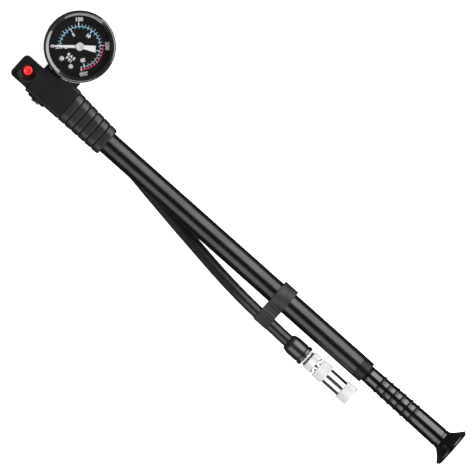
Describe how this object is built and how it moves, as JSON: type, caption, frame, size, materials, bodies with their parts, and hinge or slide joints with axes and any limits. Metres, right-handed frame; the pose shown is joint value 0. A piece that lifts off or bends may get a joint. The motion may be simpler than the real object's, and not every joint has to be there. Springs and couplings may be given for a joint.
{
  "type": "shock pump",
  "caption": "Slim hand pump with a ribbed head, side dial gauge, red bleed button, swivelling clipped hose, knurled valve chuck and a handle with a trumpet-shaped palm end.",
  "frame": {"origin": "centre of the palm disc's outer face, on the barrel's axis", "axes": "+X along the barrel from the head to the palm end, +Y from the barrel towards the gauge, +Z out of the dial; the hose lies on the -Y side"},
  "size_m": [0.325, 0.0717, 0.0316],
  "materials": {
    "nylon": "fine-grained matte moulding",
    "anodised": "satin black anodised",
    "chrome": "bright plated",
    "steel": "fine turned",
    "brass": "turned",
    "rubber": "matte",
    "acetal": "satin",
    "hose": "satin black jacket",
    "red": "glossy red",
    "gloss": "gloss black enamel",
    "dial": "matt black print",
    "white": "matt white paint",
    "clear": "clear polished"
  },
  "bodies": {
    "pump_body": {"head_housing": "nylon", "passage_plug": "chrome", "check_valve_seat": "brass", "seat_o_ring": "rubber", "check_valve_ball": "steel", "check_valve_spring": "steel", "bleed_spring": "steel", "gauge_case": "gloss", "gauge_bezel": "gloss", "gauge_lens": "clear", "lens_gasket": "rubber", "gauge_dial": "dial", "dial_screw_left": "steel", "dial_screw_right": "steel", "gauge_stem": "brass", "bourdon_tube": "brass", "movement_frame": "brass", "barrel_tube": "anodised", "barrel_end_cap": "anodised", "rod_guide": "acetal", "rod_wiper": "rubber", "swivel_bolt": "steel", "swivel_o_ring_upper": "rubber", "swivel_o_ring_lower": "rubber"},
    "plunger": {"piston_rod": "steel", "piston_head": "acetal", "piston_o_ring": "rubber", "stop_washer": "rubber", "handle_collar": "steel", "handle_tube": "anodised", "palm_flare": "anodised", "palm_disc": "gloss"},
    "bleed_plunger": {"bleed_button": "red", "bleed_stem": "brass", "bleed_seal": "rubber"},
    "needle": {"pointer": "white", "pointer_hub": "steel", "pointer_arbor": "steel"},
    "sector": {"sector_gear": "brass"},
    "hose_arm": {"swivel_fitting": "nylon", "hose_crimp": "gloss", "hose": "hose", "hose_ferrule": "gloss", "chuck_core": "chrome", "neck_o_ring": "rubber"},
    "valve_sleeve": {"chuck_sleeve": "chrome", "chuck_gasket": "rubber"},
    "nut": {"pin_nut": "chrome"},
    "pin": {"valve_pin": "brass"},
    "clip": {"hose_clip": "nylon"}
  },
  "joints": [
    {"name": "pump_stroke", "type": "slide", "parent": "pump_body", "child": "plunger", "axis": [1, 0, 0], "range_m": [0, 0.185]},
    {"name": "bleed_press", "type": "slide", "parent": "pump_body", "child": "bleed_plunger", "axis": [0, 0, -1], "range_m": [0, 0.0012], "stiffness_N_per_m": 800, "deforming": ["bleed_spring"]},
    {"name": "needle_turn", "type": "hinge", "parent": "pump_body", "child": "needle", "pos_m": [-0.3048, 0.0298, 0.0047], "axis": [0, 0, 1], "range_deg": [-265, 0], "stiffness_Nm_per_rad": 0.0005},
    {"name": "sector_turn", "type": "hinge", "parent": "pump_body", "child": "sector", "pos_m": [-0.3048, 0.0226, -0.002], "axis": [0, 0, 1], "range_deg": [0, 33.14]},
    {"name": "hose_swing", "type": "hinge", "parent": "pump_body", "child": "hose_arm", "pos_m": [-0.2966, 0.0025, -0.0138], "axis": [0, 0, 1], "range_deg": [-340, 0]},
    {"name": "chuck_spin", "type": "hinge", "parent": "hose_arm", "child": "valve_sleeve", "pos_m": [-0.0746, -0.01585, 0], "axis": [1, 0, 0], "continuous": true},
    {"name": "nut_turn", "type": "hinge", "parent": "hose_arm", "child": "nut", "pos_m": [-0.0906, -0.01585, 0], "axis": [1, 0, 0], "range_deg": [0, 720]},
    {"name": "pin_advance", "type": "slide", "parent": "hose_arm", "child": "pin", "axis": [1, 0, 0], "range_m": [0, 0.00201]},
    {"name": "clip_slide", "type": "slide", "parent": "pump_body", "child": "clip", "axis": [1, 0, 0], "range_m": [0, 0.012]}
  ],
  "couplings": [
    {"joint": "sector_turn", "follows": "needle_turn", "ratio": -0.125},
    {"joint": "pin_advance", "follows": "nut_turn", "m_per_rad": 0.00015915}
  ]
}
